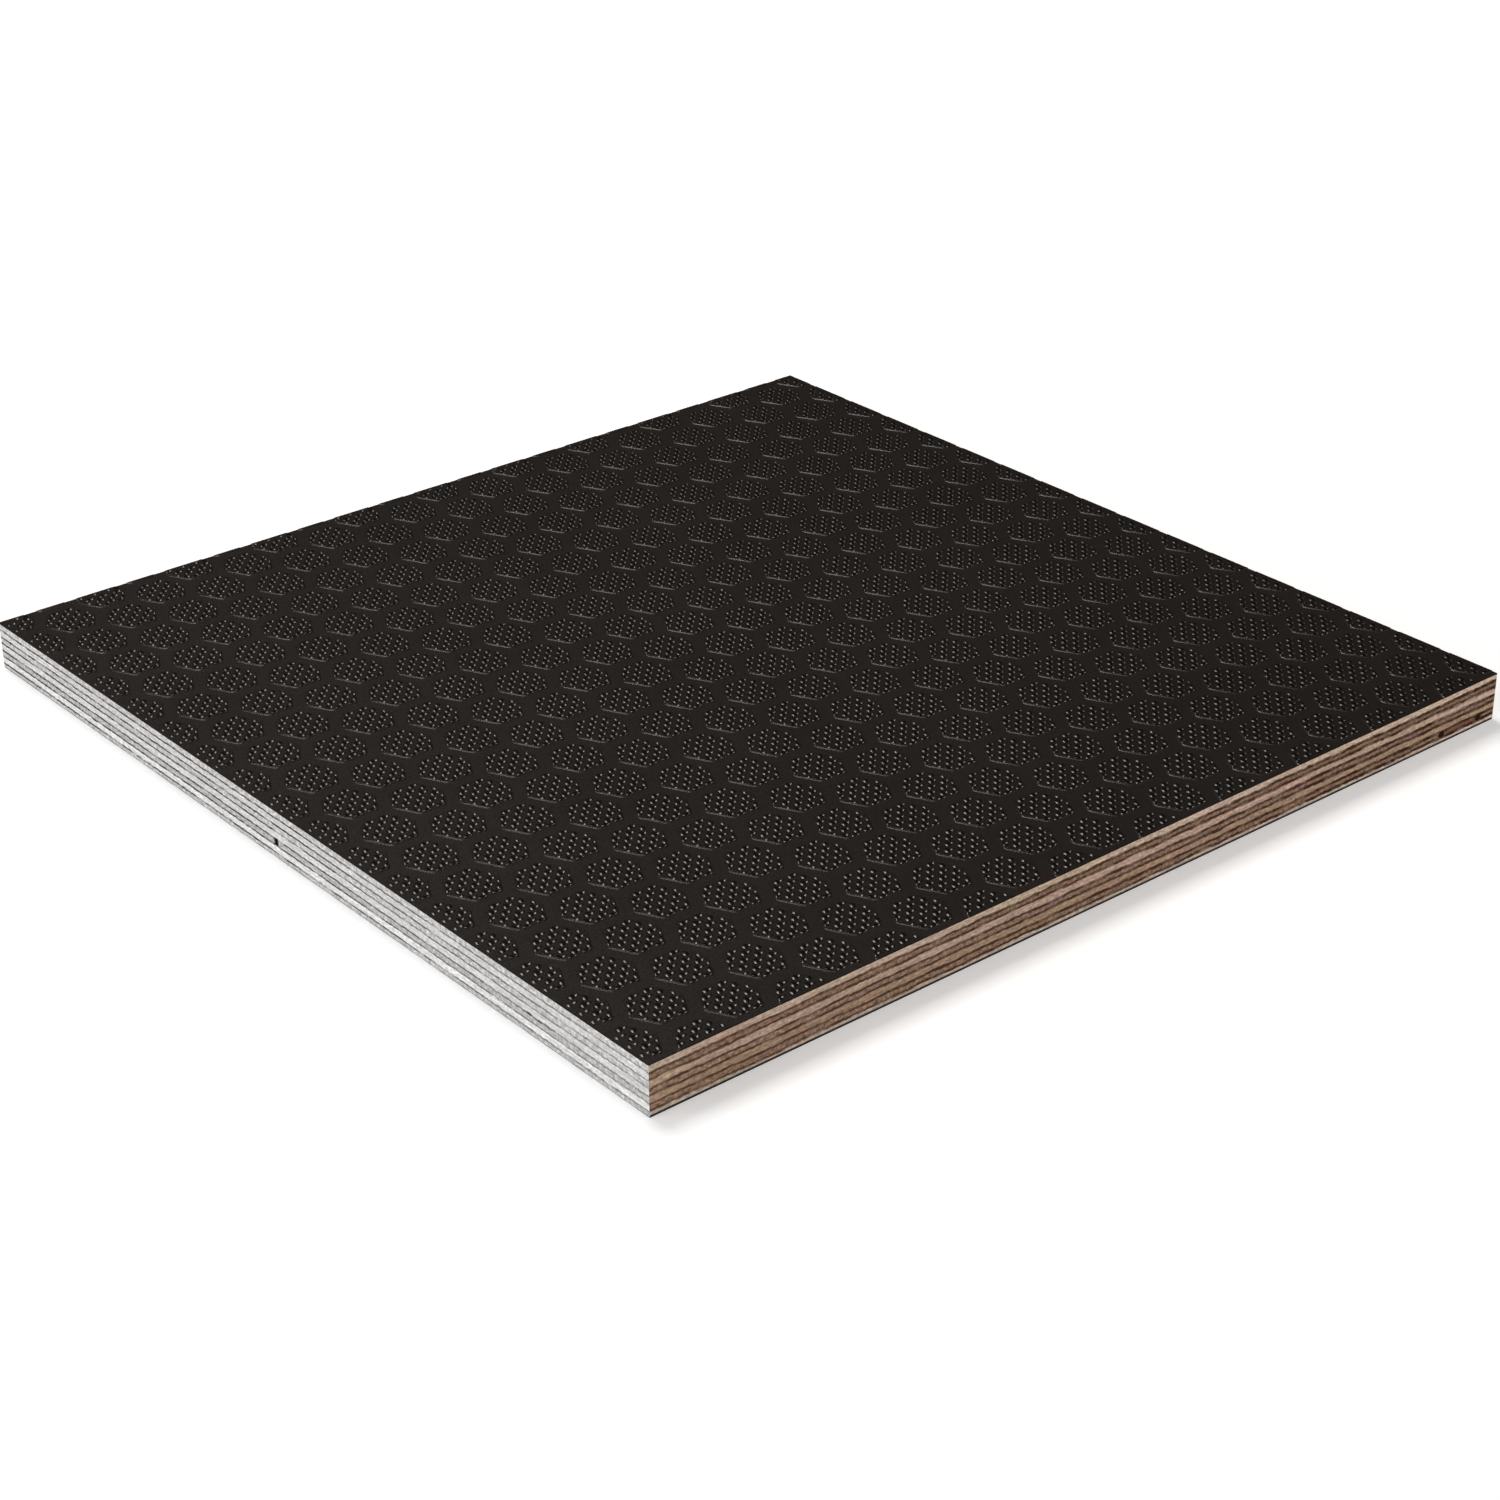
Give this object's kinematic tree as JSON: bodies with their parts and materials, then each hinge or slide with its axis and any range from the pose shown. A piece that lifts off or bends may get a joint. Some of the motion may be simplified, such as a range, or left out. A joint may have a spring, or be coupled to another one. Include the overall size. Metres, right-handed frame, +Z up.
{
  "type": "anti-slip film-faced plywood sheet",
  "caption": "Square sheet of birch plywood with sawn edges, a dark film embossed with hexagon grip pads on the upper face and a smooth dark film underneath.",
  "frame": {"origin": "middle of the underside", "axes": "+Z up through the sheet's thickness, +X along the front edge, +Y from the front edge to the back edge"},
  "size_m": [0.2, 0.2, 0.0097],
  "materials": {
    "antislip_film": "satin, embossed",
    "backing_film": "satin, smooth",
    "long_grain_veneer": "sawn",
    "cross_grain_veneer": "sawn"
  },
  "bodies": {
    "root": {"backing_film": "backing_film", "back_veneer": "long_grain_veneer", "lower_crossband": "cross_grain_veneer", "lower_core": "long_grain_veneer", "middle_crossband": "cross_grain_veneer", "upper_core": "long_grain_veneer", "upper_crossband": "cross_grain_veneer", "face_veneer": "long_grain_veneer", "antislip_film": "antislip_film"}
  },
  "joints": []
}
